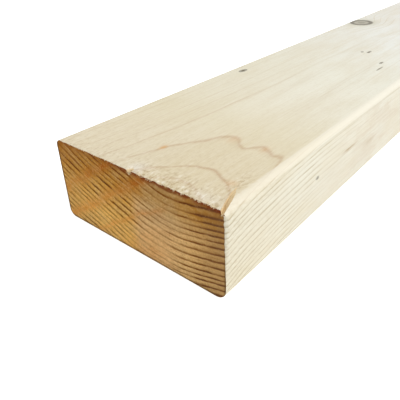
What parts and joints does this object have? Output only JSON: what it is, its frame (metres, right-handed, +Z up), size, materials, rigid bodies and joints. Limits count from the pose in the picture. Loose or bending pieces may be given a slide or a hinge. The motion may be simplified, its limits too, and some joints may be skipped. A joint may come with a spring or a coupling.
{
  "type": "two-by-four lumber",
  "caption": "Straight length of dressed softwood framing lumber with eased long edges and square-sawn ends, for studs, plates, braces and frames.",
  "frame": {"origin": "centre of the bottom wide face, on the floor that the board lies on", "axes": "+X along the grain from the near end (with the torn corner) to the far end, +Y across the wide faces from the front edge to the back edge, +Z up through the thickness"},
  "size_m": [2.4384, 0.0888, 0.0381],
  "materials": {
    "board": "planed, unfinished pale softwood"
  },
  "bodies": {
    "root": {"board": "board"}
  },
  "joints": []
}
